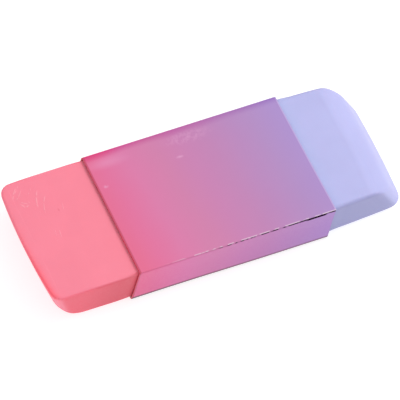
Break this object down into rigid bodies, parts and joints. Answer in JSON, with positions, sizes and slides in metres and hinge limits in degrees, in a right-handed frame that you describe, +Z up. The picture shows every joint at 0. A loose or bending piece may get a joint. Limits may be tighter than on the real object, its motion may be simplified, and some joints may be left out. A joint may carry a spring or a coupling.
{
  "type": "rubber eraser",
  "caption": "Flat slanted-end rubber eraser, coral pink at one end and lavender at the other, in a sliding folded card sleeve with a pink-to-purple fade.",
  "frame": {"origin": "under the middle of the eraser block, on the surface that the sleeve's underside lies on", "axes": "+X along the block from the pink end to the lavender end, +Y across it towards the sleeve's back crease, +Z up"},
  "size_m": [0.0598, 0.0208, 0.0079],
  "materials": {
    "pink_rubber": "matte",
    "lavender_rubber": "matte",
    "printed_card": "satin"
  },
  "bodies": {
    "block": {"pink_rubber": "pink_rubber", "lavender_rubber": "lavender_rubber"},
    "sleeve": {"card_sleeve": "printed_card"}
  },
  "joints": [
    {"name": "sleeve_slide", "type": "slide", "parent": "block", "child": "sleeve", "axis": [1, 0, 0], "range_m": [-0.048, 0.048]}
  ]
}
